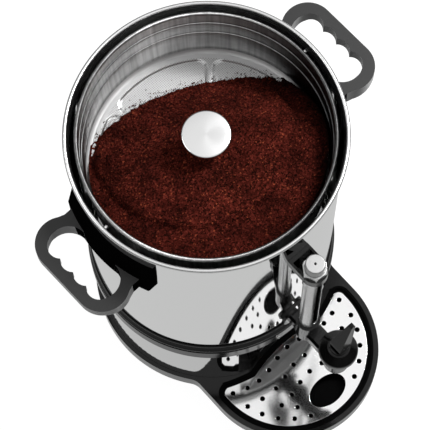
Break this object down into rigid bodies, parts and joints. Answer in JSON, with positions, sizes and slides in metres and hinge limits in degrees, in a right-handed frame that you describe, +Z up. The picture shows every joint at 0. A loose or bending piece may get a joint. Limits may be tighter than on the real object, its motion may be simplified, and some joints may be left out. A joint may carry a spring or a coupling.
{
  "type": "coffee urn",
  "caption": "Round stainless coffee urn on a skirted base with a lift-out filter basket, sight gauge, lever tap, side handles and a drip tray.",
  "frame": {"origin": "point on the table under the centre of the tank", "axes": "+Z up along the tank, -Y towards the tap and the drip tray, +X towards the handle on the right as the tap is faced"},
  "size_m": [0.3848, 0.3745, 0.49],
  "materials": {
    "mirror_steel": "mirror-polished stainless steel",
    "satin_steel": "satin spun stainless steel",
    "black_moulding": "fine-grained moulded plastic",
    "dark_grip": "fine-grained moulded heat-resistant plastic",
    "rubber": "soft rubber",
    "silicone": "translucent silicone",
    "clear_glass": "clear borosilicate tube",
    "zinc_steel": "zinc-plated steel",
    "cast_aluminium": "as cast",
    "ceramic": "glazed",
    "red_rocker": "smooth",
    "amber_lens": "translucent lens",
    "ground_coffee": "loose fine granules"
  },
  "bodies": {
    "urn": {"tank": "mirror_steel", "trim_band": "black_moulding", "base_skirt": "mirror_steel", "front_panel": "black_moulding", "base_ring": "black_moulding", "bottom_cover": "zinc_steel", "rubber_feet": "rubber", "handle_left": "dark_grip", "handle_right": "dark_grip", "handle_bolts": "satin_steel", "lid_lock_studs": "mirror_steel", "gauge_bracket": "black_moulding", "bracket_screws": "satin_steel", "gauge_guard": "mirror_steel", "gauge_glass": "clear_glass", "gauge_nut": "mirror_steel", "gauge_cap": "satin_steel", "gauge_seals": "silicone", "tap_shank": "black_moulding", "shank_seals": "silicone", "shank_nut": "satin_steel", "tap_body": "black_moulding", "tap_bonnet": "dark_grip", "heater_plate": "cast_aluminium", "heater_clamp": "zinc_steel", "thermostat": "ceramic", "thermal_fuse": "ceramic", "switch_body": "black_moulding", "pilot_lamps": "amber_lens", "mains_inlet": "black_moulding", "tie_rods": "zinc_steel", "tie_nuts": "zinc_steel", "cover_screws": "zinc_steel"},
    "riser": {"riser_tube": "satin_steel", "pump_foot": "satin_steel", "pump_valve": "satin_steel"},
    "riser_top": {"riser_cap": "satin_steel"},
    "basket": {"filter_basket": "satin_steel", "coffee_grounds": "ground_coffee"},
    "tray": {"drip_tray": "black_moulding"},
    "tray_plate": {"drip_plate": "mirror_steel"},
    "tap_swivel_ring": {"lever_ring": "black_moulding"},
    "tap_stem": {"valve_stem": "satin_steel", "seat_cup": "silicone", "tap_spring": "satin_steel"},
    "tap_handle": {"tap_lever": "black_moulding", "lever_pin": "satin_steel"},
    "rocker": {"power_rocker": "red_rocker"}
  },
  "joints": [
    {"name": "riser_lift", "type": "slide", "parent": "urn", "child": "riser", "axis": [0, 0, 1], "range_m": [0, 0.15]},
    {"name": "riser_cap_lift", "type": "slide", "parent": "riser", "child": "riser_top", "axis": [0, 0, 1], "range_m": [0, 0.04]},
    {"name": "basket_lift", "type": "slide", "parent": "riser", "child": "basket", "axis": [0, 0, 1], "range_m": [0, 0.018]},
    {"name": "tray_lift", "type": "slide", "parent": "urn", "child": "tray", "axis": [0, 0, 1], "range_m": [0, 0.05]},
    {"name": "plate_lift", "type": "slide", "parent": "tray", "child": "tray_plate", "axis": [0, 0, 1], "range_m": [0, 0.03]},
    {"name": "tap_swivel", "type": "hinge", "parent": "urn", "child": "tap_swivel_ring", "pos_m": [0, -0.2026, 0.249], "axis": [0, 0, 1], "range_deg": [-180, 0]},
    {"name": "stem_lift", "type": "slide", "parent": "tap_swivel_ring", "child": "tap_stem", "axis": [0, 0, 1], "range_m": [0, 0.0036], "deforming": ["tap_spring"]},
    {"name": "lever_tilt", "type": "hinge", "parent": "tap_stem", "child": "tap_handle", "pos_m": [0, -0.2026, 0.259], "axis": [0, 1, 0], "range_deg": [0, 50], "stiffness_Nm_per_rad": 0.25, "springref_deg": -22.92},
    {"name": "rocker_press", "type": "hinge", "parent": "urn", "child": "rocker", "pos_m": [0, -0.1098, 0.0776], "axis": [1, 0, 0], "range_deg": [0, 18]}
  ],
  "couplings": [
    {"joint": "stem_lift", "follows": "lever_tilt", "m_per_rad": 0.0040107}
  ]
}
